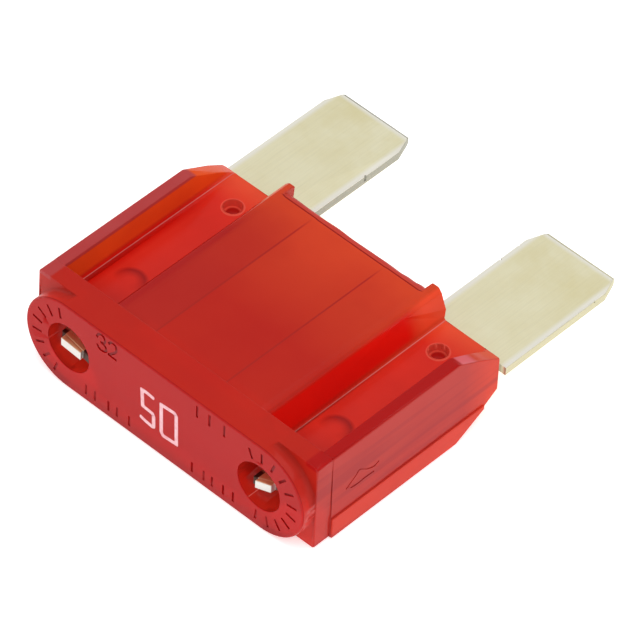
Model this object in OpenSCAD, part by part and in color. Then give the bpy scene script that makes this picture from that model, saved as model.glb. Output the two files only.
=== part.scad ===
// Large heavy-duty automotive blade fuse: a one-piece moulded housing and a one-piece stamped fuse element.
// It lies on its flat side. X is across the blades, Y runs from the head to the blade tips, and Z is up.
// The origin is under the middle of the fuse, on the surface that it lies on.

/* [Overall] */
// Length from the face of the head to the tips of the blades
total_len = 34.3; // [30:0.1:42]
// Thickness of the head, which is the thickest part of the fuse
head_t = 8.5; // [7:0.1:10.5]
// Distance over the outer edges of the two blades
blade_span = 29.2; // [25:0.1:36]

/* [Head] */
// How much narrower the flange is than the blades, on each side
flange_inset = 0.3; // [0.1:0.05:1]
// Thickness of the flange, along the fuse
flange_t = 1.6; // [1:0.1:3]
// Radius of the flange's long corners
flange_corner_r = 0.3; // [0.1:0.05:0.8]
// How far the round-ended boss stands proud of the flange
boss_proud = 1.35; // [0.6:0.05:2]
// Radius of the boss's rounded rim
boss_rim_r = 0.2; // [0.1:0.05:0.55]
// Diameter of each test hole
test_hole_d = 4.3; // [3:0.1:5.2]
// Depth of each test hole, from the face of the boss
test_hole_depth = 2.2; // [1.6:0.1:2.4]
// How far inboard of the blade's centreline each test hole lies
test_hole_shift = 0.8; // [0:0.1:1.5]

/* [Body] */
// Length of the body behind the flange
body_len = 18.15; // [14:0.05:22]
// How much narrower the body is than the blades at its foot, on each side
body_inset = 0.18; // [0.1:0.01:0.3]
// How much narrower the body is at its top than at its foot, on each side
side_draft = 0.1; // [0:0.05:0.3]
// Radius of the body's long outer edges
body_edge_r = 0.2; // [0.1:0.05:0.4]
// Radius of the body's far corners, seen from above
end_corner_r = 0.4; // [0.1:0.05:0.6]
// How far the side ribs lie below the head's flat faces
rib_drop = 0.1; // [0:0.05:0.5]
// Width of each side rib along its top
rib_w = 1.05; // [0.8:0.05:2]
// Thickness of the webs that hold the blades
web_t = 2.9; // [2.2:0.1:3.5]
// Sideways lean of the chamber's outer walls, from top to foot
wall_lean = 0.9; // [0.3:0.05:1]
// Sideways lean of the ribs' inner walls, from top to foot
rib_lean = 0.1; // [0:0.05:0.5]
// Radius at the foot of the chamber's outer walls
wall_foot_r = 0.35; // [0.1:0.05:0.6]
// Radius at the foot of the ribs' inner walls
rib_foot_r = 0.5; // [0.1:0.05:0.7]
// Length of the slope that brings the ribs down to the webs
end_slope_len = 4.7; // [3:0.1:7]
// Length of the steeper part of that slope, from the rib's top
end_slope_first = 3; // [1.5:0.1:4]
// Height of the rib's flank where the slope's gentler part begins, above the web
end_slope_knee = 1.1; // [0.5:0.1:1.6]
// How far the low side band stands proud of the body
band_proud = 0.12; // [0.05:0.01:0.18]
// Height of the side band
band_h = 2; // [1:0.1:3]
// How far short of the body's end the side band stops
band_short = 1.7; // [0.5:0.1:4]

/* [Chamber] */
// Width of the chamber over its top
chamber_w = 15.6; // [13.5:0.1:18]
// Width of the ridge along each side of the roof
ridge_w = 0.5; // [0.3:0.05:1]
// Size of the chamfer on the outer edge of each ridge
ridge_chamfer = 0.2; // [0.1:0.05:0.6]
// Depth of the roof below the ridges
roof_dip = 0.1; // [0.05:0.05:0.3]
// Width of the shallow panel along the middle of the roof
panel_w = 7.4; // [4:0.1:10]
// Depth of that panel below the rest of the roof
panel_dip = 0.05; // [0.03:0.01:0.2]
// Width of the slopes down into the roof's dip and into the panel
dip_slope_w = 0.3; // [0.1:0.05:0.6]
// Thickness of the roof, above and below the cavity
roof_t = 1; // [0.7:0.1:1.6]
// Width of the cavity in the chamber
cavity_w = 14; // [12:0.1:14.2]
// Thickness of the wall between the head and the cavity
cavity_wall = 1.1; // [0.8:0.1:2]
// How far the roof's far edge stops short of the body's end
roof_short = 0.4; // [0.2:0.1:1.5]
// Radius of the roof's far edge
roof_edge_r = 0.6; // [0.1:0.05:0.7]
// How far the ears at the chamber's corners reach past the body's end
ear_reach = 0.25; // [0:0.05:0.3]
// Radius of the tips of the ears
ear_r = 0.25; // [0.2:0.05:0.8]
// Height above the web to which the chamber's wall stands upright at the ears
flare_knee = 0.95; // [0.4:0.05:1.6]

/* [Fuse element] */
// Width of each blade
blade_w = 8; // [6.5:0.1:9.6]
// Thickness of the blades
blade_t = 0.8; // [0.6:0.05:1]
// Length of the chamfer on each corner of the blade tips, along the blade
tip_len = 1.77; // [0.5:0.05:3]
// Depth of that chamfer, across the blade
tip_depth = 0.65; // [0.2:0.05:1.2]
// Size of the small bevel on the end edges of the blade tips
tip_bevel = 0.15; // [0.05:0.05:0.3]
// Width of the shoulder where each blade grows wider outside the housing
shoulder_w = 0.7; // [0.45:0.05:1.2]
// Gap between the body's end and the shoulder
shoulder_gap = 0.35; // [0.1:0.05:1]
// Width of the left test tab
left_tab_w = 3.3; // [2:0.1:3.4]
// Width of the right test tab
right_tab_w = 1.9; // [1.2:0.1:3.3]
// How far the left test tab stands inboard of the middle of its hole
left_tab_shift = 0.3; // [-0.4:0.05:0.4]
// How far the right test tab stands inboard of the middle of its hole
right_tab_shift = -0.2; // [-0.4:0.05:0.4]
// How far the tips of the test tabs lie behind the face of the boss
tab_recess = 0.2; // [0:0.05:1]
// Slope of the cut across the end of the left test tab, in degrees
left_tab_cut = 8; // [0:1:20]
// Slope of the cut across the end of the right test tab, in degrees
right_tab_cut = 25; // [0:1:30]
// Diameter of the hole in each leg near the head
leg_hole_d = 2.7; // [1.5:0.1:3.2]
// Distance from the flange to the centre of that hole
leg_hole_y = 4.25; // [3:0.05:6]
// Width of the fusible link
link_w = 1.7; // [1:0.1:2.4]
// Width of the neck in the middle of the link
neck_w = 0.9; // [0.5:0.1:1.4]
// Thickness of the fusible link
link_t = 0.4; // [0.2:0.05:0.6]
// Distance from the flange to the middle of the link
link_y = 7.5; // [6:0.1:9]
// How far the link swings to each side of its middle line
link_swing = 2; // [1.2:0.1:2.4]

/* [Staking and fits] */
// Diameter of each staked dimple
dimple_d = 1.5; // [1:0.1:2]
// Depth of each staked dimple
dimple_depth = 0.6; // [0.3:0.05:0.8]
// Width of the raised ring round each dimple
dimple_ring_w = 0.15; // [0.1:0.05:0.3]
// Height of that ring
dimple_ring_h = 0.08; // [0.03:0.01:0.15]
// Distance from the body's end to the dimples
dimple_end = 2.8; // [2:0.1:4]
// Diameter of the staked peg that holds each leg
peg_d = 1.4; // [0.8:0.1:2]
// Clearance round the fuse element in the housing
fit_gap = 0.05; // [0.03:0.01:0.1]
// Distance from the flange to the blind ends of the slots for the legs
slot_stop = 0.15; // [0:0.05:0.5]

/* [Hidden] */
$fn = 48;

// Overshoot that makes a cut pass cleanly through a face
over = 1;
// Segments in a rounded corner of an outline
corner_steps = 5;

// Heights, measured from the middle plane of the fuse
mid_z = head_t / 2;
rib_z = mid_z - rib_drop;
ridge_z = rib_z;
roof_z = ridge_z - roof_dip;
panel_z = roof_z - panel_dip;
web_z = web_t / 2;
cavity_z = panel_z - roof_t;
slot_t = blade_t + 2 * fit_gap;

// Places along the fuse, measured from the face of the boss
flange_y = boss_proud;
body_y = flange_y + flange_t;
end_y = body_y + body_len;
ear_y = end_y + ear_reach;
roof_end_y = end_y - roof_short;
slope_y = end_y - end_slope_len;
knee_y = slope_y + end_slope_first;
knee_z = web_z + end_slope_knee;
cavity_y = body_y + cavity_wall;
shoulder_y = end_y + shoulder_gap;
dimple_y = end_y - dimple_end;

// Places across the fuse, measured from its middle
flange_x = blade_span / 2 - flange_inset;
body_x = blade_span / 2 - body_inset;
body_top_x = body_x - side_draft;
rib_top_x = body_top_x - rib_w;
rib_foot_x = rib_top_x - rib_lean;
chamber_x = chamber_w / 2;
chamber_foot_x = chamber_x + wall_lean;
ridge_x = chamber_x - ridge_chamfer - ridge_w;
cavity_x = cavity_w / 2;
blade_x = (blade_span - blade_w) / 2;
dimple_x = blade_x;
blade_out_x = blade_span / 2;
blade_in_x = blade_out_x - blade_w;
leg_out_x = blade_out_x - shoulder_w;
leg_in_x = blade_in_x;
test_hole_x = blade_x - test_hole_shift;

// The legs start where the slots in the housing end
slot_y = body_y + slot_stop;
leg_y = slot_y + fit_gap;
link_mid_y = body_y + link_y;

// Shortens a vector to one unit
function unit(v) = v / norm(v);
// The turn from one angle to another, the short way round
function turn(a, b) = let (d = b - a) d > 180 ? d - 360 : d < -180 ? d + 360 : d;
// The points of a rounded corner at q, between its neighbours p and s
function rounded(p, q, s, r) = r == 0 ? [q] :
    let (
        u = unit(p - q),
        v = unit(s - q),
        half = acos(u * v) / 2,
        centre = q + unit(u + v) * r / sin(half),
        first = q + u * r / tan(half) - centre,
        last = q + v * r / tan(half) - centre,
        start = atan2(first[1], first[0]),
        sweep = turn(start, atan2(last[1], last[0]))
    )
    [for (i = [0:corner_steps]) let (a = start + sweep * i / corner_steps) centre + r * [cos(a), sin(a)]];
// An outline whose corners are given as [x, y, radius]
function outline(corners) =
    let (n = len(corners))
    [for (i = [0:n - 1])
        let (p = corners[(i + n - 1) % n], q = corners[i], s = corners[(i + 1) % n])
        each rounded([p[0], p[1]], [q[0], q[1]], [s[0], s[1]], q[2])];

// Puts a shape that is measured from the boss's face and the middle plane in its place
module placed() {
    translate([0, -total_len / 2, mid_z]) children();
}

// Extrudes a section in X and Z along the fuse, from y0 to y1
module along(y0, y1) {
    translate([0, y1, 0]) rotate([90, 0, 0]) linear_extrude(y1 - y0) children();
}

// Extrudes a section in Y and Z across the fuse, from x0 to x1
module across(x0, x1) {
    translate([x0, 0, 0]) rotate([90, 0, 90]) linear_extrude(x1 - x0) children();
}

// Repeats a shape on both sides of the fuse
module both_sides() {
    children();
    mirror([1, 0, 0]) children();
}

// Repeats a shape above and below the middle plane
module both_faces() {
    children();
    mirror([0, 0, 1]) children();
}

// A rectangle with rounded corners, centred
module rounded_rectangle(w, h, r) {
    square([w - 2 * r, h], center = true);
    square([w, h - 2 * r], center = true);
    for (x = [-1, 1], y = [-1, 1])
        translate([x * (w / 2 - r), y * (h / 2 - r)]) circle(r);
}

// The corner that a round edge of radius r takes off, at the origin and towards minus X and minus Y
module edge_round(r) {
    difference() {
        translate([-r, -r]) square(r + over);
        translate([-r, -r]) circle(r);
    }
}

// Half the section of a round plate whose far rim is rounded
module rim_section(radius, depth, r) {
    square([radius, depth - r]);
    square([radius - r, depth]);
    translate([radius - r, depth - r]) circle(r);
}

// The round-ended boss, which runs back into the flange
module boss() {
    depth = boss_proud + flange_t / 2;
    end_x = flange_x - mid_z;
    for (x = [-end_x, end_x])
        translate([x, depth, 0]) rotate([90, 0, 0])
            rotate_extrude() rim_section(mid_z, depth, boss_rim_r);
    across(-end_x, end_x) {
        translate([boss_rim_r, -mid_z]) square([depth - boss_rim_r, head_t]);
        translate([0, boss_rim_r - mid_z]) square([depth, head_t - 2 * boss_rim_r]);
        for (z = [-1, 1])
            translate([boss_rim_r, z * (mid_z - boss_rim_r)]) circle(boss_rim_r);
    }
}

// The flange behind the boss
module flange() {
    along(flange_y, body_y) rounded_rectangle(2 * flange_x, head_t, flange_corner_r);
}

// The block that the ribs, webs and chamber are cut from
module body_block() {
    along(body_y - flange_t / 2, ear_y)
        polygon(outline([
            [-body_x, -rib_z, body_edge_r],
            [body_x, -rib_z, body_edge_r],
            [body_top_x, rib_z, body_edge_r],
            [-body_top_x, rib_z, body_edge_r]
        ]));
}

// The band along the lower part of each side
module side_band() {
    across(body_x - over, body_x + band_proud) {
        translate([body_y, -rib_z]) square([end_y - band_short - body_y, band_h]);
    }
}

// The recess between a rib and the chamber, over one web
module recess() {
    rise = over / (rib_z - web_z);
    difference() {
        along(body_y, ear_y + over)
            polygon(outline([
                [chamber_x - wall_lean * rise, rib_z + over, 0],
                [chamber_foot_x, web_z, wall_foot_r],
                [rib_foot_x, web_z, rib_foot_r],
                [rib_top_x + rib_lean * rise, rib_z + over, 0]
            ]));
        flare();
    }
}

// The slope that brings a rib down to the web at the far end
module end_slope() {
    across(chamber_foot_x + wall_foot_r, body_x + over)
        polygon([
            [slope_y, rib_z + over],
            [slope_y, rib_z],
            [knee_y, knee_z],
            [end_y, web_z],
            [ear_y + over, web_z],
            [ear_y + over, rib_z + over]
        ]);
}

// What is taken off the far end, which leans outwards from the webs to the tips of the ears
module end_face() {
    across(-body_x - over, body_x + over)
        polygon([
            [end_y, -over],
            [end_y, web_z],
            [ear_y, rib_z],
            [ear_y, rib_z + over],
            [ear_y + over, rib_z + over],
            [ear_y + over, -over]
        ]);
}

// What is taken off the upright corner at the body's far end
module end_corner() {
    translate([body_x, end_y, -rib_z - over]) linear_extrude(2 * (rib_z + over)) edge_round(end_corner_r);
}

// The flare that the leaning chamber wall takes towards the ear, where it stands upright up to a knee
module flare() {
    intersection() {
        along(slope_y, ear_y + over)
            polygon([
                [0, web_z - over],
                [chamber_foot_x, web_z - over],
                [chamber_foot_x, web_z + flare_knee],
                [chamber_x, ridge_z],
                [0, ridge_z]
            ]);
        translate([0, 0, web_z - over]) linear_extrude(2 * rib_z)
            polygon([
                [0, slope_y],
                [chamber_x, slope_y],
                [chamber_foot_x, ear_y],
                [chamber_foot_x, ear_y + over],
                [0, ear_y + over]
            ]);
    }
}

// The chamfer along the outer edge of a ridge
module ridge_edge() {
    along(body_y, ear_y + over)
        polygon([
            [chamber_x - ridge_chamfer, ridge_z],
            [chamber_x + ridge_chamfer, ridge_z - 2 * ridge_chamfer],
            [chamber_x + ridge_chamfer, ridge_z + over],
            [chamber_x - ridge_chamfer, ridge_z + over]
        ]);
}

// The section of a shallow dip between two heights, w wide over its top, with sloping sides
module dip_section(w, top, bottom) {
    half = w / 2;
    polygon([
        [-half, top + over],
        [-half, top],
        [dip_slope_w - half, bottom],
        [half - dip_slope_w, bottom],
        [half, top],
        [half, top + over]
    ]);
}

// What is taken off the roof between its ridges
module roof_cuts() {
    along(body_y, ear_y + over) {
        dip_section(2 * ridge_x, ridge_z, roof_z);
        dip_section(panel_w, roof_z, panel_z);
    }
    across(-ridge_x, ridge_x) {
        translate([roof_end_y, 0]) square([roof_short + ear_reach + over, mid_z]);
        translate([roof_end_y, roof_z]) edge_round(roof_edge_r);
    }
    both_sides() across(ridge_x - over, chamber_foot_x)
        translate([ear_y, ridge_z]) edge_round(ear_r);
}

// The cavity in the chamber, open at the far end
module cavity() {
    across(-cavity_x, cavity_x)
        translate([cavity_y, -cavity_z]) square([ear_y + over - cavity_y, 2 * cavity_z]);
}

// The slot that holds one leg of the fuse element
module slot() {
    across(leg_in_x - fit_gap, leg_out_x + fit_gap)
        translate([slot_y, -slot_t / 2]) square([ear_y + over - slot_y, slot_t]);
}

// A test hole in the head, with the narrow slot that the test tab comes through
module test_hole(tab_w, tab_shift) {
    tab_x = test_hole_x - tab_shift;
    translate([test_hole_x, test_hole_depth, 0]) rotate([90, 0, 0])
        cylinder(d = test_hole_d, h = test_hole_depth + over);
    across(tab_x - tab_w / 2 - fit_gap, tab_x + tab_w / 2 + fit_gap)
        translate([-over, -slot_t / 2]) square([slot_y + 2 * over, slot_t]);
}

// A staked dimple in the web
module dimple() {
    translate([dimple_x, dimple_y, web_z - dimple_depth])
        cylinder(d = dimple_d, h = dimple_depth + over);
}

// The raised ring round a dimple
module dimple_ring() {
    translate([dimple_x, dimple_y, web_z]) rotate_extrude()
        translate([dimple_d / 2, 0]) polygon([
            [0, -dimple_ring_h],
            [dimple_ring_w, -dimple_ring_h],
            [dimple_ring_w, 0],
            [dimple_ring_w / 2, dimple_ring_h],
            [0, dimple_ring_h / 2]
        ]);
}

// The staked peg that passes through a leg and holds it
module peg() {
    translate([dimple_x, dimple_y, -web_z + dimple_depth])
        cylinder(d = peg_d, h = 2 * (web_z - dimple_depth));
}

// The one-piece moulded housing
module housing() {
    color([0.75, 0.13, 0.12]) placed() {
        difference() {
            union() {
                boss();
                flange();
                body_block();
                both_sides() side_band();
            }
            both_sides() both_faces() {
                recess();
                end_slope();
                ridge_edge();
                dimple();
            }
            both_sides() end_corner();
            both_faces() {
                end_face();
                roof_cuts();
            }
            cavity();
            both_sides() slot();
            test_hole(right_tab_w, right_tab_shift);
            mirror([1, 0, 0]) test_hole(left_tab_w, left_tab_shift);
        }
        both_sides() {
            both_faces() dimple_ring();
            peg();
        }
    }
}

// One blade with the leg that runs back from it to the head
module blade_and_leg() {
    linear_extrude(blade_t, center = true) difference() {
        union() {
            polygon([
                [blade_in_x, link_mid_y],
                [blade_in_x, total_len - tip_len],
                [blade_in_x + tip_depth, total_len],
                [blade_out_x - tip_depth, total_len],
                [blade_out_x, total_len - tip_len],
                [blade_out_x, shoulder_y],
                [leg_out_x, shoulder_y],
                [leg_out_x, link_mid_y]
            ]);
            translate([leg_in_x, leg_y]) square([leg_out_x - leg_in_x, link_mid_y - leg_y + over]);
        }
        translate([dimple_x, body_y + leg_hole_y]) circle(d = leg_hole_d);
        translate([dimple_x, dimple_y]) circle(d = peg_d + 2 * fit_gap);
    }
}

// The test tab at the head end of a leg, with a sloping cut across its end
module test_tab(w, tab_shift, cut) {
    translate([test_hole_x - tab_shift, 0]) linear_extrude(blade_t, center = true)
        polygon([
            [-w / 2, tab_recess],
            [w / 2, tab_recess + w * tan(cut)],
            [w / 2, leg_y + over],
            [-w / 2, leg_y + over]
        ]);
}

// The small bevels on the end edges of a blade's tip
module tip_bevels() {
    both_faces() across(blade_in_x - over, blade_out_x + over)
        translate([total_len, blade_t / 2])
            polygon([[-2 * tip_bevel, 0], [0, -tip_bevel], [over, -tip_bevel], [over, over], [-2 * tip_bevel, over]]);
}

// The fusible link between the legs: a strip that swings to each side and narrows in its middle
module link() {
    half = link_w / 2;
    turn_x = leg_in_x / 2;
    translate([0, link_mid_y]) linear_extrude(link_t, center = true) union() {
        for (side = [0, 180]) rotate(side) {
            translate([-over / 2, -neck_w / 2]) square([turn_x + over / 2 - half, neck_w]);
            polygon(outline([
                [turn_x - half, -half, 0],
                [turn_x + half, -half, half],
                [turn_x + half, link_swing - half, 0],
                [leg_in_x + over / 2, link_swing - half, 0],
                [leg_in_x + over / 2, link_swing + half, 0],
                [turn_x - half, link_swing + half, half],
                [turn_x - half, half, 0]
            ]));
        }
    }
}

// The one-piece stamped fuse element
module fuse_element() {
    color([0.86, 0.84, 0.7]) placed() {
        difference() {
            both_sides() blade_and_leg();
            both_sides() tip_bevels();
        }
        test_tab(right_tab_w, right_tab_shift, right_tab_cut);
        mirror([1, 0, 0]) test_tab(left_tab_w, left_tab_shift, left_tab_cut);
        link();
    }
}

housing();
fuse_element();
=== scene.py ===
import math

import bmesh
import bpy
from mathutils import Matrix, Vector


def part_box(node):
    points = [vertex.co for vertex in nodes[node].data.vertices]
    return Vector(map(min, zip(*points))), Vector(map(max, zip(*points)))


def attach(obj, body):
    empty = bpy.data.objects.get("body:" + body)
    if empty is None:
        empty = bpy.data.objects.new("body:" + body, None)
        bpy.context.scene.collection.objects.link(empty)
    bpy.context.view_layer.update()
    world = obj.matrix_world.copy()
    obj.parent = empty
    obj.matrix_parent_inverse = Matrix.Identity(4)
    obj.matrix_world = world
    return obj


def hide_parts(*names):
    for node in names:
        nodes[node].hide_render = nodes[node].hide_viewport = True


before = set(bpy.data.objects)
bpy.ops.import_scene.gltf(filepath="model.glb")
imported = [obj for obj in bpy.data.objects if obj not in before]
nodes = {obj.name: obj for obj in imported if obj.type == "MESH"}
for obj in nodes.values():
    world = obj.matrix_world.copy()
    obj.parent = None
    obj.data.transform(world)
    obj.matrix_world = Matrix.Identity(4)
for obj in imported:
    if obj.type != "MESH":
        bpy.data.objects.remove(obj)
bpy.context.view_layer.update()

# The looks of an automotive blade fuse that lies on its flat side: a translucent red moulding round a
# stamped, tinned element. Sizes are in millimetres here, and mm() makes them metres.
MM = 0.001
low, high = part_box("housing")
middle_z = (low.z + high.z) / 2 / MM
face_y = low.y / MM

# How far from a place still counts as at it
TOUCH = 0.001
HAIR = 0.01
SLACK = 0.02
NEAR = 0.05
CLEAR = 0.1

# The photograph's camera: where it looks from, in degrees and millimetres
IMAGE_PX = 640
SENSOR = 36
FOCAL_PX = 6423.5
VIEW_TURN = 41.413
VIEW_HEIGHT = 45.822
VIEW_ROLL = 3.021
VIEW_DISTANCE = 480.95
VIEW_CENTRE = (0, -0.15, 4.25)
VIEW_RIGHT = 0.142
VIEW_UP = -1.414
CLIP_NEAR = 10
CLIP_FAR = 5000

# The studio: the floor's side, the strength of the white tent and of the floor's glow, and the name, place,
# side and watts of each lamp
FLOOR_SIDE = 3000
TENT_STRENGTH = 0.68
FLOOR_GLOW = 0.5
LAMPS = (("top_lamp", (90, -40, 330), 330, 0.46), ("front_lamp", (-180, -260, 150), 260, 0.05))

# Places in part.scad that the details need
CAVITY_X = 7
CAVITY_Z = 3
CAVITY_START_Y = -13.1
SLOT_HALF = 0.45
SLOT_INNER_X = 5
TEST_HOLE_X = 9.8
TEST_HOLE_R = 2.15
TEST_HOLE_END_Y = -14.5
LEG_X = 10.6
LEG_HOLE_Y = -9.95
DIMPLE_Y = 1.15
DIMPLE_REACH = 1
ROOF_END_Y = 3.55
ROOF_EDGE_R = 0.6
ROOF_HALF_X = 7.1
ROOF_LEAST = 0.5
ROOF_LEAST_Z = 8
STEP_LEAST_X = 14
STEP_Y = -15
FLANGE_END_Y = -14.2
SIDE_X = 14.37
BLADE_TOP_Z = 4.65
BLADE_LOW_Z = 3.85
BLADE_HALF = 4
BLADE_END_Y = 17.15
TAB_HIDDEN_Y = -16.3
HOUSED_LENGTH = 22

# Edges: the radius on each piece, and in degrees how sharp one is to be rounded, how flat two faces are to be
# one, and how soft an edge is to be shaded over
HOUSING_EDGE_R = 0.07
ELEMENT_EDGE_R = 0.06
SHARP_ANGLE = 38
FLAT_ANGLE = 0.3
SOFT_ANGLE = 35

# The crease across the roof
CREASE_Y = 2.84
CREASE_HALF = 0.05
CREASE_DEPTH = 0.05
CREASE_END_X = 6.95

# How far the flash on the roof's far rim stands out, at places across the fuse
RIM_STEPS = 40
RIM_BUMPS = ((-7.1, 0), (-6.28, 0.03), (-4.86, -0.02), (-3.17, -0.03), (-1.91, 0.04), (-0.31, -0.04),
             (2.17, 0.01), (3.3, 0.03), (4.7, -0.02), (5.2, 0.08), (5.9, 0.04), (6.61, 0.18), (7.1, 0.05))

# The nibs on the test tabs: the left and right end, the front at the left end, and the slant of the front in
# degrees
NIBS = ((-10.72, -8.57, -17.03, -3), (9.41, 10.64, -17.14, 20))
NIB_BACK_Y = -15.8
NIB_FRONT_Y = -16.5
NIB_INSET = 0.01

# The nicks along the blades: the place across and along, and the size
NICKS = ((6.62, 12.4, 0.2), (6.6, 14.5, 0.14), (9.05, 17.2, 0.16), (6.6, 9.75, 0.1), (-6.55, 11.6, 0.26),
         (14.62, 14.2, 0.14))
NICK_TOP_Z = 5
NICK_TURN = 38

# Planes that strokes are drawn on: a point, the ways across and up, and the way out of the face
FACE_PLANE = (Vector((0, face_y, 0)), Vector((1, 0, 0)), Vector((0, 0, 1)), Vector((0, -1, 0)))
SIDE_PLANE = (Vector((SIDE_X, 0, 0)), Vector((0, 1, 0)), Vector((0, 0, 1)), Vector((1, 0, 0)))

# Strokes: the width, and the inner and outer distance off the plane
INK_STROKE = (0.34, -0.002, 0.012)
MARK_STROKE = (0.22, -0.08, 0.1)
SCAR_STROKE = (0.14, -0.06, 0.4)
LEAST_MITRE = 0.5
CURVE_STEPS = 4
INK_CORNER_R = 0.1
INK_CORNER_ANGLE = 25

# The ticks on the boss: two rows, and an arc round each test hole by its middle, first angle and count
LOW_TICKS_X = (-7.92, -6.98, -5.57, -4.69, -3.4, 3.1, 4.3, 5.15, 6.3, 7.3)
LOW_TICKS_Z = (1.72, 0.7)
HIGH_TICKS_X = (3.45, 4.7, 6.2)
HIGH_TICKS_Z = (7.98, 6.8)
TICK_ARCS = ((10.05, 112, 11), (-10.05, 250, 8))
TICK_TURN = 21
TICK_NEAR = 2.6
TICK_FAR = 3.6

# The numbers of a colour mix's sockets, as several share a name: the share, the two colours and the result
MIX_SHARE = 0
MIX_UNDER = 6
MIX_OVER = 7
MIXED = 2


def mm(*sizes):
    """Lengths in millimetres as metres: one number, or a vector of three."""
    return sizes[0] * MM if len(sizes) == 1 else Vector(sizes) * MM


def per(size):
    """The scale of a pattern whose patches are a size in millimetres across."""
    return 1 / mm(size)


def colour(hex_code):
    """An sRGB hex colour as linear RGBA."""
    parts = [int(hex_code[i:i + 2], 16) / 255 for i in (1, 3, 5)]
    return [c / 12.92 if c <= 0.04045 else ((c + 0.055) / 1.055) ** 2.4 for c in parts] + [1]


def camera():
    """The camera at the photograph's angle."""
    turn = math.radians(VIEW_TURN)
    height = math.radians(VIEW_HEIGHT)
    roll = math.radians(VIEW_ROLL)
    back = Vector((math.sin(turn) * math.cos(height), -math.cos(turn) * math.cos(height), math.sin(height)))
    right = Vector((0, 0, 1)).cross(back).normalized()
    up = back.cross(right)
    rolled_right = right * math.cos(roll) + up * math.sin(roll)
    rolled_up = up * math.cos(roll) - right * math.sin(roll)
    aim = mm(*VIEW_CENTRE) - rolled_right * mm(VIEW_RIGHT) + rolled_up * mm(VIEW_UP)
    place = aim + back * mm(VIEW_DISTANCE)
    turned = Matrix((rolled_right, rolled_up, back)).transposed().to_4x4()
    bpy.ops.object.camera_add()
    made = bpy.context.object
    made.name = "photo_camera"
    made.matrix_world = Matrix.Translation(place) @ turned
    made.data.sensor_width = SENSOR
    made.data.lens = FOCAL_PX / IMAGE_PX * SENSOR
    made.data.clip_start = mm(CLIP_NEAR)
    made.data.clip_end = mm(CLIP_FAR)
    bpy.context.scene.camera = made


def lamp(name, place, side, watts):
    """A soft square white lamp that shines at the fuse."""
    bpy.ops.object.light_add(type="AREA", location=mm(*place))
    made = bpy.context.object
    made.name = name
    made.data.shape = "SQUARE"
    made.data.size = mm(side)
    made.data.energy = watts
    made.rotation_euler = (-made.location).to_track_quat("-Z", "Y").to_euler()


def studio():
    """A plain pale floor in a bright white tent."""
    bpy.ops.object.select_all(action="DESELECT")
    bpy.ops.mesh.primitive_plane_add(size=mm(FLOOR_SIDE), location=(0, 0, 0))
    floor = bpy.context.object
    floor.name = "floor"
    dress(floor, white_paper())
    world = bpy.data.worlds.new("tent")
    world.use_nodes = True
    sky = world.node_tree.nodes["Background"].inputs
    sky["Color"].default_value = colour("#ffffff")
    sky["Strength"].default_value = TENT_STRENGTH
    bpy.context.scene.world = world
    for name, place, side, watts in LAMPS:
        lamp(name, place, side, watts)
    bpy.context.scene.view_settings.view_transform = "Standard"


def only(piece):
    """Selects one object and makes it the active one."""
    bpy.ops.object.select_all(action="DESELECT")
    piece.select_set(True)
    bpy.context.view_layer.objects.active = piece


def edit(piece, kind="EDGE"):
    """Opens a piece for editing with nothing selected, and returns its edit mesh."""
    only(piece)
    bpy.ops.object.mode_set(mode="EDIT")
    bpy.ops.mesh.select_mode(type=kind)
    bpy.ops.mesh.select_all(action="DESELECT")
    return bmesh.from_edit_mesh(piece.data)


def done():
    """Closes the piece that is being edited."""
    bpy.ops.object.mode_set(mode="OBJECT")


def apply_modifier(piece, kind, **settings):
    """Adds a modifier with its settings and applies it."""
    only(piece)
    added = piece.modifiers.new(kind.lower(), kind)
    for key, value in settings.items():
        setattr(added, key, value)
    bpy.ops.object.modifier_apply(modifier=added.name)


def copy_of(node, name):
    """A copy of a CAD node in the node's place, with its doubled points merged and its flat faces whole."""
    piece = bpy.data.objects.new(name, nodes[node].data.copy())
    piece.data.name = name
    bpy.context.collection.objects.link(piece)
    edit(piece)
    bpy.ops.mesh.select_all(action="SELECT")
    bpy.ops.mesh.remove_doubles(threshold=mm(TOUCH))
    bpy.ops.mesh.dissolve_limited(angle_limit=math.radians(FLAT_ANGLE))
    done()
    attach(piece, "root")
    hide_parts(node)
    return piece


def round_edges(piece, radius, skip):
    """Rounds the sharp outward edges, but not those whose middle skip() names."""
    mesh = edit(piece)
    for edge in mesh.edges:
        outward = len(edge.link_faces) == 2 and edge.is_convex
        if outward and edge.calc_face_angle() > math.radians(SHARP_ANGLE):
            middle = (edge.verts[0].co + edge.verts[1].co) / 2 / MM
            edge.select = not skip(middle)
    bmesh.update_edit_mesh(piece.data)
    bpy.ops.mesh.bevel(offset=mm(radius), segments=2, profile=0.5, clamp_overlap=False, miter_outer="ARC")
    done()


def smooth(piece):
    """Smooth shading across soft edges, with each flat face kept flat."""
    only(piece)
    bpy.ops.object.shade_smooth_by_angle(angle=math.radians(SOFT_ANGLE))
    apply_modifier(piece, "WEIGHTED_NORMAL", keep_sharp=True, weight=100)


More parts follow.
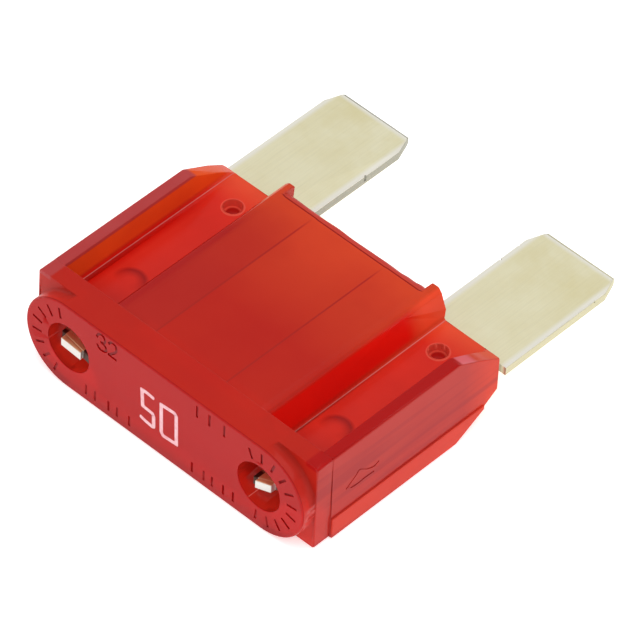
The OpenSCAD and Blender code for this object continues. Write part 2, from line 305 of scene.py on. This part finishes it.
def strokes(name, paths, stroke, plane):
    """Strokes of even width on a plane, from an inner to an outer distance off it, as one mesh.
    A path is a list of places across and up. It is closed if its last place is its first."""
    start, way_across, way_up, way_out = plane
    width, inner, outer = stroke
    mesh = bmesh.new()
    for path in paths:
        closed = path[0] == path[-1]
        places = [Vector(p) for p in (path[:-1] if closed else path)]
        count = len(places)
        sides = []
        for i, here in enumerate(places):
            ways = []
            if i > 0 or closed:
                ways.append((here - places[i - 1]).normalized())
            if i < count - 1 or closed:
                ways.append((places[(i + 1) % count] - here).normalized())
            along = sum(ways, Vector((0, 0))).normalized()
            across = Vector((-along.y, along.x)) * width / 2 / max(along.dot(ways[0]), LEAST_MITRE)
            flat = [start + way_across * p.x + way_up * p.y for p in (here + across, here - across)]
            sides.append([mesh.verts.new(mm(*(p + way_out * inner))) for p in flat])
        for i in range(count if closed else count - 1):
            one = sides[i]
            two = sides[(i + 1) % count]
            mesh.faces.new((one[0], one[1], two[1], two[0]))
    data = bpy.data.meshes.new(name)
    mesh.to_mesh(data)
    mesh.free()
    piece = bpy.data.objects.new(name, data)
    bpy.context.collection.objects.link(piece)
    edit(piece, "FACE")
    bpy.ops.mesh.select_all(action="SELECT")
    bpy.ops.mesh.extrude_region_move(TRANSFORM_OT_translate={"value": mm(*(way_out * (outer - inner)))})
    bpy.ops.mesh.select_all(action="SELECT")
    bpy.ops.mesh.normals_make_consistent(inside=False)
    done()
    return piece


def curved(points):
    """The points of a soft curve through the given places."""
    places = [Vector(p) for p in points]
    ends = [2 * places[0] - places[1]] + places + [2 * places[-1] - places[-2]]
    made = []
    for a, b, c, d in zip(ends, ends[1:], ends[2:], ends[3:]):
        for i in range(CURVE_STEPS):
            t = i / CURVE_STEPS
            made.append(tuple(0.5 * (2 * b + (c - a) * t + (2 * a - 5 * b + 4 * c - d) * t ** 2
                                     + (3 * b - a - 3 * c + d) * t ** 3)))
    return made + [tuple(places[-1])]


def rating_print():
    """The printed rating, a plain number: a thin layer of white ink with soft corners."""
    five = [(-0.88, 5.5), (-1.71, 5.59), (-2.15, 5.56), (-2.04, 3.92), (-1.02, 3.84), (-0.9, 3.6),
            (-0.88, 2.55), (-1.05, 2.44), (-1.7, 2.52), (-2.3, 2.69)]
    zero = [(-0.16, 5.44), (1.2, 5.55), (1.38, 5.35), (1.47, 2.43), (0.1, 2.32), (-0.09, 2.6), (-0.16, 5.44)]
    piece = strokes("rating_print", [five, zero], INK_STROKE, FACE_PLANE)
    mesh = edit(piece)
    for edge in mesh.edges:
        through_ink = abs(edge.verts[0].co.y - edge.verts[1].co.y) > mm(HAIR)
        edge.select = through_ink and edge.calc_face_angle() > math.radians(INK_CORNER_ANGLE)
    bmesh.update_edit_mesh(piece.data)
    bpy.ops.mesh.bevel(offset=mm(INK_CORNER_R), segments=3)
    done()
    smooth(piece)
    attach(piece, "root")
    return piece


def mould_marks():
    """The strokes that are sunk in the face of the boss: a plain number and rows of plain ticks. They come as
    two cutters, so that no stroke crosses another in its own cutter."""
    upper_bowl = curved([(-6.9, 7.63), (-6.69, 8.06), (-6.3, 8.17), (-6.02, 7.8), (-6.2, 7.45), (-6.5, 7.38)])
    lower_bowl = curved([(-6.35, 7.38), (-5.96, 7.2), (-5.9, 6.84), (-6.22, 6.58), (-6.61, 6.62),
                         (-6.85, 6.94)])
    swan = curved([(-5.69, 7.76), (-5.42, 8.1), (-4.97, 8.06), (-4.85, 7.65), (-5.05, 7.25), (-5.65, 6.7)])
    base = [(-5.72, 6.64), (-4.8, 6.64)]
    paths = [upper_bowl, swan]
    for row, heights in ((LOW_TICKS_X, LOW_TICKS_Z), (HIGH_TICKS_X, HIGH_TICKS_Z)):
        for x in row:
            paths.append([(x, z) for z in heights])
    for arc_x, first, count in TICK_ARCS:
        for step in range(count):
            angle = math.radians(first - TICK_TURN * step)
            way = Vector((math.cos(angle), math.sin(angle)))
            middle = Vector((arc_x, middle_z))
            paths.append([tuple(middle + way * TICK_NEAR), tuple(middle + way * TICK_FAR)])
    return [strokes("mark_cutter", group, MARK_STROKE, FACE_PLANE) for group in (paths, [lower_bowl, base])]


def gate_scar():
    """The strokes that are torn out of the right side, where the gate of the mould broke off."""
    high_run = curved([(-12.7, 4.15), (-12.3, 4.45), (-11.7, 4.85), (-11.25, 5.2), (-10.4, 4.65), (-9.7, 4.4),
                       (-9.2, 4.6)])
    low_run = curved([(-12.2, 3.95), (-11.5, 3.85), (-10.6, 3.9), (-9.7, 3.85)])
    return strokes("scar_cutter", [high_run, low_run], SCAR_STROKE, SIDE_PLANE)


def roof_wave(x):
    """How far the roof's far rim stands out at a place across the fuse, with its bumps of flash."""
    for (start, one), (end, two) in zip(RIM_BUMPS, RIM_BUMPS[1:]):
        if start <= x <= end:
            share = (x - start) / (end - start)
            return one + (two - one) * share * share * (3 - 2 * share)
    return 0


def cut_loops(piece, places, axis, wanted):
    """Cuts loops of edges into the faces that wanted() names, at places along one axis."""
    normal = [0, 0, 0]
    normal[axis] = 1
    for place in places:
        mesh = edit(piece, "FACE")
        for face in mesh.faces:
            along = [v.co[axis] / MM for v in face.verts]
            face.select = min(along) < place < max(along) and wanted(face.calc_center_median() / MM)
        bmesh.update_edit_mesh(piece.data)
        bpy.ops.mesh.bisect(plane_co=[mm(place) * n for n in normal], plane_no=normal)
        done()


def combine(piece, tool, operation="DIFFERENCE"):
    """Cuts one mesh out of a piece, or joins it on, and removes that mesh's object."""
    apply_modifier(piece, "BOOLEAN", object=tool, operation=operation, solver="EXACT")
    bpy.data.objects.remove(tool)


def block(low_corner, high_corner, turn=0):
    """A block between two corners, turned about its middle, as a cutter or as stock."""
    bpy.ops.object.select_all(action="DESELECT")
    middle = (Vector(low_corner) + Vector(high_corner)) / 2
    bpy.ops.mesh.primitive_cube_add(size=1, location=mm(*middle))
    made = bpy.context.object
    made.dimensions = mm(*(Vector(high_corner) - Vector(low_corner)))
    made.rotation_euler.z = math.radians(turn)
    bpy.ops.object.transform_apply(location=True, rotation=True, scale=True)
    return made


def in_recess(place):
    """Whether an edge lies in the chamber, a slot, a test hole or a dimple, where it stays sharp."""
    up = abs(place.z - middle_z)
    across = abs(place.x)
    cavity = across < CAVITY_X + SLACK and up < CAVITY_Z + SLACK and place.y > CAVITY_START_Y
    slot = up < SLOT_HALF + SLACK and across > SLOT_INNER_X
    hole = math.hypot(across - TEST_HOLE_X, up) < TEST_HOLE_R - CLEAR and place.y < TEST_HOLE_END_Y
    dimple = math.hypot(across - LEG_X, place.y - DIMPLE_Y) < DIMPLE_REACH
    return cavity or slot or hole or dimple


def in_housing(place):
    """Whether an edge of the element is hidden in the housing, where it stays sharp."""
    return TAB_HIDDEN_Y < place.y < face_y + HOUSED_LENGTH


def step_sides(piece):
    """Moves the step of the sides from the flange's middle to behind it, where the photograph has it."""
    for vertex in piece.data.vertices:
        if abs(vertex.co.x) > mm(STEP_LEAST_X) and abs(vertex.co.y - mm(STEP_Y)) < mm(NEAR):
            vertex.co.y = mm(FLANGE_END_Y)


def wave_rim(piece):
    """Gives the roof's far rim its bumps of flash."""
    rim_y = ROOF_END_Y - ROOF_EDGE_R

    def on_rim(place):
        outside = abs(place.z - middle_z) > CAVITY_Z + NEAR
        return rim_y < place.y < ROOF_END_Y + HAIR and outside and abs(place.x) < ROOF_HALF_X

    cut_loops(piece, [ROOF_HALF_X * (2 * step / RIM_STEPS - 1) for step in range(1, RIM_STEPS)], 0, on_rim)
    for vertex in piece.data.vertices:
        place = vertex.co / MM
        inside = abs(place.x) < ROOF_HALF_X - CLEAR and abs(place.z - middle_z) > CAVITY_Z + CLEAR
        if inside and rim_y + NEAR < place.y < ROOF_END_Y + HAIR:
            vertex.co.y += mm(roof_wave(place.x) * (place.y - rim_y) / ROOF_EDGE_R)


def crease_roof(piece):
    """Presses the crease across the roof, just before its far rim."""

    def on_roof(place):
        return place.z > middle_z + CAVITY_Z + ROOF_LEAST and abs(place.x) < ROOF_HALF_X

    def in_crease(place):
        return on_roof(place) and abs(place.y - CREASE_Y) < CREASE_HALF

    cut_loops(piece, [CREASE_Y - CREASE_HALF, CREASE_Y, CREASE_Y + CREASE_HALF], 1, on_roof)
    cut_loops(piece, [-CREASE_END_X, CREASE_END_X], 0, in_crease)
    for vertex in piece.data.vertices:
        place = vertex.co / MM
        along_crease = abs(place.y - CREASE_Y) < TOUCH and abs(place.x) < CREASE_END_X + HAIR
        if along_crease and place.z > ROOF_LEAST_Z:
            vertex.co.z -= mm(CREASE_DEPTH)


def housing():
    """The moulding: the CAD housing with softened edges, an uneven roof rim and marks sunk in its faces."""
    piece = copy_of("housing", "housing_moulding")
    step_sides(piece)
    round_edges(piece, HOUSING_EDGE_R, in_recess)
    wave_rim(piece)
    crease_roof(piece)
    for cutter in mould_marks():
        combine(piece, cutter)
    combine(piece, gate_scar())
    smooth(piece)
    return piece


def element():
    """The stamped element: softened edges, a nib on each test tab where the carrier strip was cut off,
    and the small nicks of handling along the blades."""
    piece = copy_of("fuse_element", "stamped_element")
    for left, right, front, slant in NIBS:
        nib = block((left, front, BLADE_LOW_Z + NIB_INSET), (right, NIB_BACK_Y, BLADE_TOP_Z - NIB_INSET))
        for vertex in nib.data.vertices:
            if vertex.co.y < mm(NIB_FRONT_Y):
                vertex.co.y += (vertex.co.x - mm(left)) * math.tan(math.radians(slant))
        combine(piece, nib, "UNION")
    round_edges(piece, ELEMENT_EDGE_R, in_housing)
    for x, y, size in NICKS:
        half = size / 2
        low_z = BLADE_TOP_Z - size if x > 0 else BLADE_TOP_Z - 2 * size
        combine(piece, block((x - half, y - half, low_z), (x + half, y + half, NICK_TOP_Z), NICK_TURN))
    smooth(piece)
    return piece


def material(name):
    """A new material with its Principled shader, and functions that add a node with settings and links, and
    that link two sockets."""
    made = bpy.data.materials.new(name)
    made.use_nodes = True
    tree = made.node_tree
    shader = tree.nodes["Principled BSDF"]

    def node(kind, inputs=None, **settings):
        added = tree.nodes.new("ShaderNode" + kind)
        for key, value in settings.items():
            setattr(added, key, value)
        for key, value in (inputs or {}).items():
            if isinstance(value, bpy.types.NodeSocket):
                tree.links.new(value, added.inputs[key])
            else:
                added.inputs[key].default_value = value
        return added

    def link(source, target):
        tree.links.new(source, target)

    return made, shader, node, link


def band(source, middle, half, core):
    """The two limits of a band: it fades out at half its width from its middle, and is whole in its core."""
    return (source, middle - half, middle - core), (source, middle + half, middle + core)


def painted(node, tone, zones):
    """Lays the colours of zones over a tone, one after another. A zone has a colour and its limits: each
    limit is a length, and the two values in millimetres between which the zone fades in."""
    for code, limits in zones:
        mask = 1
        for source, start, end in limits:
            ramp = node("MapRange", {"Value": source, "From Min": mm(start), "From Max": mm(end)})
            mask = node("Math", {0: mask, 1: ramp.outputs[0]}, operation="MULTIPLY").outputs[0]
        inputs = {MIX_SHARE: mask, MIX_UNDER: tone, MIX_OVER: colour(code)}
        tone = node("Mix", inputs, data_type="RGBA").outputs[MIXED]
    return tone


def white_paper():
    """Matt white paper, lit through from below so that it stays white in the shade."""
    made, shader = material("white_paper")[:2]
    shader.inputs["Base Color"].default_value = colour("#fcfcfc")
    shader.inputs["Roughness"].default_value = 0.9
    shader.inputs["Emission Color"].default_value = colour("#ffffff")
    shader.inputs["Emission Strength"].default_value = FLOOR_GLOW
    return made


def red_polycarbonate():
    """Red polycarbonate from a polished mould, drawn cloudier than the real one, so that it glows more than
    it shows what is behind it. Its light and shade are painted into its colour: painted shade makes the thick
    head deep red, a painted glow makes the thin walls at the blade end orange, and a painted sheen makes the
    sides mauve."""
    made, shader, node, link = material("red_polycarbonate")
    place = node("TexCoord").outputs["Object"]
    axes = node("SeparateXYZ", {"Vector": place}).outputs
    across = node("Math", {0: axes["X"]}, operation="ABSOLUTE").outputs[0]

    # The melt is uneven over about 6 mm and flows along the fuse in bands of 1.4 mm. The mould's fine grain
    # is drawn at 0.4 mm, coarse enough to show.
    clouds = node("TexNoise", {"Vector": place, "Scale": per(6.25), "Detail": 3, "Roughness": 0.5}).outputs[0]
    along = node("Mapping", {"Vector": place, "Scale": (1, 0.12, 1)}).outputs[0]
    flow = node("TexNoise", {"Vector": along, "Scale": per(1.43), "Detail": 4, "Roughness": 0.6}).outputs[0]
    grain = node("TexNoise", {"Vector": place, "Scale": per(0.385), "Detail": 3}).outputs[0]

    # How far a place is from the middle of a dimple, and of the hidden hole in a leg
    flat = node("CombineXYZ", {"X": across, "Y": axes["Y"]}).outputs[0]
    dimple, leg_hole = [
        node("VectorMath", {0: flat, 1: mm(LEG_X, y, 0)}, operation="DISTANCE").outputs["Value"]
        for y in (DIMPLE_Y, LEG_HOLE_Y)]

    # Limits that several zones share
    behind_flange = (axes["Y"], -14.25, -14.15)
    before_rim = (axes["Y"], 2.7, 1)
    at_face = (axes["Y"], -17.05, -17.12)
    on_left = (axes["X"], 0, -1)
    on_right = (axes["X"], 0, 1)
    right_rib = (axes["X"], 13, 13.2)
    under_roof = (across, 7.3, 7)
    off_cavity = (across, 7.6, 7.8)
    off_wall = (across, 8.6, 8.9)
    off_rib = (across, 13.3, 13.1)
    at_side = (across, 14.2, 14.3)
    side_top = (axes["Z"], 8.32, 8.28)
    below_roof = (axes["Z"], 8.3, 8)
    at_roof = (axes["Z"], 8, 8.2)
    in_bay = (axes["Z"], 7.7, 7.3)
    on_web = (axes["Z"], 7, 6)
    above_foot = (axes["Z"], 5.8, 6.2)
    at_foot = (axes["Z"], 6.1, 5.9)

    zones = (
        # The roof gets a painted orange glow towards the blades, where light comes through, and so do the
        # webs' ends
        ("#e44c28", ((axes["Y"], -8, 4),)),
        # Painted shade where the chamber's walls show through the roof: a redder strip on the left and two
        # faint lines
        ("#c42c22", ((axes["X"], -3.7, -3.85), at_roof, (axes["X"], -7.2, -7), (axes["Y"], 2, -8),
                     behind_flange)),
        ("#b42a22", (*band(axes["X"], -3.8, 0.12, 0.02), at_roof, before_rim, behind_flange)),
        ("#b42a22", (*band(axes["X"], 3.4, 0.12, 0.02), at_roof, before_rim, behind_flange)),
        ("#bb2420", ((axes["X"], -6.9, -7.2), at_roof, (axes["X"], -8.6, -8.4), (axes["Y"], 1, -3),
                     behind_flange)),
        # The webs are painted lighter than the roof with light shining through, with painted shade by the
        # flange and the most painted light at the blades
        ("#f03424", (off_wall, off_rib, in_bay, behind_flange)),
        ("#d83026", (off_wall, off_rib, in_bay, (axes["Y"], -10.5, -12.5), behind_flange)),
        ("#ff5a38", (off_wall, in_bay, (axes["Y"], 1, 3.5))),
        # The staked dimples get a painted highlight ring round painted shade in the hollow, and the hidden
        # holes of the legs show through as crescents of painted shade
        ("#ff6450", ((dimple, 0.98, 0.92), on_web)),
        ("#b81c16", ((dimple, 0.66, 0.5), on_web)),
        ("#a81c18", ((leg_hole, 1.5, 1.15), (leg_hole, 0.4, 1.15), (axes["Y"], -10.6, -9), on_web)),
        # The walls of the chamber and the ribs get a painted glow where light crosses them, and a painted
        # band of deeper red lies by the foot of the left rib
        ("#f81a10", (off_cavity, (across, 8.9, 8.7), below_roof, above_foot, (axes["Y"], 2.5, 0),
                     behind_flange)),
        ("#ff5230", (off_cavity, (across, 9.4, 9.2), above_foot, (axes["Y"], 0.5, 2))),
        ("#ff5c20", ((axes["X"], -13, -13.1), below_roof, (axes["Z"], 6, 6.4), behind_flange)),
        ("#e41a0c", ((axes["X"], -12.1, -12.7), (axes["Z"], 6.2, 5.9), (axes["Y"], 1, -3), behind_flange)),
        # Thin painted highlights run along the foot of each wall and behind the flange
        ("#f08078", (*band(across, 13.035, 0.035, 0.015), on_left, at_foot)),
        ("#f08078", (*band(across, 8.78, 0.04, 0.02), on_right, at_foot)),
        ("#ee6a60", (*band(axes["Y"], -14.195, 0.045, 0.025), (axes["Z"], 8.1, 8.2))),
        # The rim's lip gets a painted reflection and the crease before it painted shade. The left rib's top
        # gets a painted mauve sheen and the right rib's top painted shade; the right side's top edge gets a
        # painted highlight line, and the right rib's end slope a painted highlight in the shape of a lens.
        ("#d2483e", ((axes["Y"], 2.9, 2.98), (axes["Z"], 7, 7.4), under_roof)),
        ("#96181a", (*band(axes["Y"], CREASE_Y, 0.07, 0.04), (axes["Z"], 8, 8.1), under_roof)),
        ("#c64c4c", ((axes["X"], -13, -13.2), at_roof)),
        ("#bc1614", (right_rib, at_roof)),
        ("#f08078", ((across, 14.27, 14.3), (axes["Z"], 8.3, 8.34), on_right, behind_flange)),
        ("#f07078", (right_rib, (axes["Z"], 8.25, 8.1), (axes["Z"], 7.2, 7.5), (axes["Y"], -1, -0.7))),
        # The sides get a painted mauve sheen, are more orange below the step and get a painted orange glow
        # towards the blades; the front of the thick head gets painted deep red shade, darker towards the
        # floor, and painted shade fills its sunken marks
        ("#c63830", (at_side, side_top)),
        ("#e8402a", ((across, 14.4, 14.48), (axes["Z"], 2.15, 2.05))),
        ("#f0482c", (at_side, (axes["Y"], 0, 3), side_top)),
        ("#c01a18", (at_face,)),
        ("#9c181a", (at_face, (axes["Z"], 2.4, 0.4))),
        ("#8e0e12", ((axes["Y"], -17.09, -17.08), (axes["Y"], -17.05, -17.06))),
    )
    tone = painted(node, colour("#cc2a1c"), zones)
    cloud = {"Value": clouds, "From Min": 0.35, "From Max": 0.65, "To Max": 0.25}
    cloudy = node("MapRange", cloud).outputs[0]
    inputs = {MIX_SHARE: cloudy, MIX_UNDER: tone, MIX_OVER: colour("#b8161a")}
    tone = node("Mix", inputs, data_type="RGBA").outputs[MIXED]

    # Flow lines run along the sides, about 1.1 mm apart, where the melt met the wall of the mould
    level_only = node("Mapping", {"Vector": place, "Scale": (0, 0.04, 1)}).outputs[0]
    lines = node("TexNoise", {"Vector": level_only, "Scale": per(1.11), "Detail": 2}).outputs[0]
    streak = node("MapRange", {"Value": lines, "From Min": 0.5, "From Max": 0.62, "To Max": 0.35}).outputs[0]
    on_side = node("MapRange", {"Value": across, "From Min": mm(14.2), "From Max": mm(14.3)}).outputs[0]
    streaked = node("Math", {0: streak, 1: on_side}, operation="MULTIPLY").outputs[0]
    inputs = {MIX_SHARE: streaked, MIX_UNDER: tone, MIX_OVER: colour("#96202a")}
    tone = node("Mix", inputs, data_type="RGBA").outputs[MIXED]
    link(tone, shader.inputs["Base Color"])

    gloss = {"Value": flow, "From Min": 0.3, "From Max": 0.7, "To Min": 0.12, "To Max": 0.22}
    link(node("MapRange", gloss).outputs[0], shader.inputs["Roughness"])
    ripples = node("Bump", {"Height": clouds, "Strength": 0.25, "Distance": mm(0.05)}).outputs[0]
    fine = node("Bump", {"Height": grain, "Strength": 0.12, "Distance": mm(0.01), "Normal": ripples})
    link(fine.outputs[0], shader.inputs["Normal"])
    shader.inputs["IOR"].default_value = 1.45
    shader.inputs["Specular IOR Level"].default_value = 0.05
    shader.inputs["Transmission Weight"].default_value = 0.2
    tint = node("VolumeAbsorption", {"Color": colour("#ffaa27"), "Density": 600})
    link(tint.outputs["Volume"], made.node_tree.nodes["Material Output"].inputs["Volume"])
    return made


def tinned_zinc():
    """Zinc strip with a matt tin finish: pale and faintly yellow, with fine drawn marks along the strip.
    The sheared edges show bare grey zinc."""
    made, shader, node, link = material("tinned_zinc")
    place = node("TexCoord").outputs["Object"]
    axes = node("SeparateXYZ", {"Vector": place}).outputs

    # Drawn marks 0.2 mm apart and grain of 0.1 mm, both coarse enough to show, and stains of about 4 mm
    along = node("Mapping", {"Vector": place, "Scale": (1, 0.03, 1)}).outputs[0]
    drawn = node("TexNoise", {"Vector": along, "Scale": per(0.2), "Detail": 5, "Roughness": 0.65}).outputs[0]
    stains = node("TexNoise", {"Vector": place, "Scale": per(3.85), "Detail": 4, "Roughness": 0.6}).outputs[0]
    grain = node("TexNoise", {"Vector": place, "Scale": per(0.111), "Detail": 2}).outputs[0]
    tin = node("MapRange", {"Value": stains, "From Min": 0.35, "From Max": 0.7}).outputs[0]
    inputs = {MIX_SHARE: tin, MIX_UNDER: colour("#f6f1cf"), MIX_OVER: colour("#f0e9c2")}
    pale = node("Mix", inputs, data_type="RGBA").outputs[MIXED]
    lines = node("MapRange", {"Value": drawn, "From Min": 0.45, "From Max": 0.75, "To Max": 0.25}).outputs[0]
    inputs = {MIX_SHARE: lines, MIX_UNDER: pale, MIX_OVER: colour("#d6d2ba")}
    scratched = node("Mix", inputs, data_type="RGBA").outputs[MIXED]

    # How far a place is across a blade from its middle, and up or down from the strip's middle
    across = node("Math", {0: axes["X"]}, operation="ABSOLUTE").outputs[0]
    from_middle = node("Math", {0: across, 1: mm(LEG_X)}, operation="SUBTRACT").outputs[0]
    to_edge = node("Math", {0: from_middle}, operation="ABSOLUTE").outputs[0]
    level = node("Math", {0: axes["Z"], 1: mm(middle_z)}, operation="SUBTRACT").outputs[0]
    off = node("Math", {0: level}, operation="ABSOLUTE").outputs[0]

    # Stains turn the tips faintly yellow
    tip = {"Value": axes["Y"], "From Min": mm(9), "From Max": mm(17), "To Max": 0.6}
    toward_tip = node("MapRange", tip).outputs[0]
    yellow = node("Math", {0: tin, 1: toward_tip}, operation="MULTIPLY").outputs[0]
    inputs = {MIX_SHARE: yellow, MIX_UNDER: scratched, MIX_OVER: colour("#e8dda6")}
    finish = node("Mix", inputs, data_type="RGBA").outputs[MIXED]
    past_head = (axes["Y"], 3, 4)
    before_tip = (axes["Y"], BLADE_END_Y - 0.02, BLADE_END_Y - 0.1)
    sheared = (off, 0.39, 0.36)
    in_boss = (axes["Y"], -15.8, -16.2)
    left_nib, right_nib = NIBS
    zones = (
        # Painted highlights along the borders of the blades and across their tips
        ("#faf7ea", ((to_edge, BLADE_HALF - 0.6, BLADE_HALF - 0.25), past_head)),
        ("#faf7ea", ((axes["Y"], BLADE_END_Y - 0.7, BLADE_END_Y - 0.35),)),
        # The sheared edges show bare grey zinc, painted lighter on the right blade as a painted highlight
        ("#a5a394", (sheared, past_head, before_tip)),
        ("#c9c3a2", (sheared, past_head, before_tip, (axes["X"], 0, 1))),
        # The test tabs: a painted golden reflection of the red moulding, painted highlights on the nibs' cut
        # faces, and painted shade in the pockets beside them
        ("#f4c896", (in_boss,)),
        ("#dcdad4", (in_boss, sheared)),
        ("#4a3028", (in_boss, (axes["X"], left_nib[0], left_nib[0] - 0.04))),
        ("#4a3028", (in_boss, (axes["X"], left_nib[1], left_nib[1] + 0.04), (axes["X"], 1, 0))),
        ("#4a3028", (in_boss, (axes["X"], right_nib[0], right_nib[0] - 0.04), (axes["X"], 0, 1))),
        ("#4a3028", (in_boss, (axes["X"], right_nib[1], right_nib[1] + 0.04))),
    )
    link(painted(node, finish, zones), shader.inputs["Base Color"])

    satin = {"Value": drawn, "From Min": 0.3, "From Max": 0.7, "To Min": 0.36, "To Max": 0.55}
    link(node("MapRange", satin).outputs[0], shader.inputs["Roughness"])
    brushed = node("Bump", {"Height": drawn, "Strength": 0.2, "Distance": mm(0.01)}).outputs[0]
    fine = node("Bump", {"Height": grain, "Strength": 0.1, "Distance": mm(0.005), "Normal": brushed})
    link(fine.outputs[0], shader.inputs["Normal"])
    shader.inputs["Metallic"].default_value = 0.8
    return made


def white_ink():
    """White pad-printed ink: matt, thin enough to take some red from below, with thin spots about 0.5 mm
    across."""
    made, shader, node, link = material("white_ink")
    place = node("TexCoord").outputs["Object"]
    blotch = {"Vector": place, "Scale": per(0.455), "Detail": 4, "Roughness": 0.7}
    blotches = node("TexNoise", blotch).outputs[0]
    thin = node("MapRange", {"Value": blotches, "From Min": 0.4, "From Max": 0.75}).outputs[0]
    inputs = {MIX_SHARE: thin, MIX_UNDER: colour("#f3c6cb"), MIX_OVER: colour("#e89aa2")}
    link(node("Mix", inputs, data_type="RGBA").outputs[MIXED], shader.inputs["Base Color"])
    film = node("Bump", {"Height": blotches, "Strength": 0.3, "Distance": mm(0.01)})
    link(film.outputs[0], shader.inputs["Normal"])
    rough = node("MapRange", {"Value": blotches, "To Min": 0.5, "To Max": 0.75})
    link(rough.outputs[0], shader.inputs["Roughness"])
    return made


def dress(piece, finish):
    """Gives a piece one material all over."""
    piece.data.materials.clear()
    piece.data.materials.append(finish)


camera()
studio()
dress(housing(), red_polycarbonate())
dress(element(), tinned_zinc())
dress(rating_print(), white_ink())
